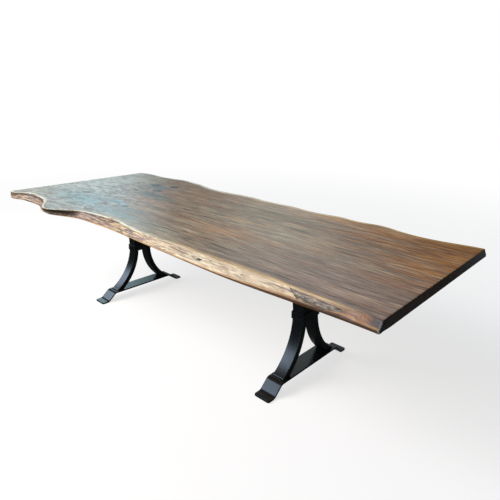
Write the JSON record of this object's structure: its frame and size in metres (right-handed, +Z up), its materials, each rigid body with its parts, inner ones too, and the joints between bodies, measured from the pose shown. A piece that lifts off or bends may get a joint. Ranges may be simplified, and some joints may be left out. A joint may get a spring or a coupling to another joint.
{
  "type": "slab dining table",
  "caption": "Live-edge walnut slab dining table on black steel hourglass trestles, each with bowed legs banded at the waist and a cranked foot bar.",
  "frame": {"origin": "on the floor, under the middle of the slab's own box", "axes": "+X along the slab towards its plain end, away from the burl lobe; +Y towards the straighter live edge; +Z up"},
  "size_m": [3.05, 1.3298, 0.762],
  "materials": {
    "walnut": "oiled walnut with a pale sapwood live edge, satin",
    "black_steel": "satin black powder coat on welded steel",
    "black_fastener": "black oxide fasteners",
    "zinc_steel": "zinc-plated steel fasteners"
  },
  "bodies": {
    "root": {"slab_top": "walnut", "slab_washers": "zinc_steel", "slab_bolts": "zinc_steel", "left_foot_bar": "black_steel", "left_top_bar": "black_steel", "left_front_leg": "black_steel", "left_rear_leg": "black_steel", "left_waist_block": "black_steel", "left_collar": "black_steel", "right_foot_bar": "black_steel", "right_top_bar": "black_steel", "right_front_leg": "black_steel", "right_rear_leg": "black_steel", "right_waist_block": "black_steel", "right_collar": "black_steel", "clamp_bolts": "black_fastener", "clamp_nuts": "black_fastener", "foot_welds": "black_steel", "head_welds": "black_steel"}
  },
  "joints": []
}
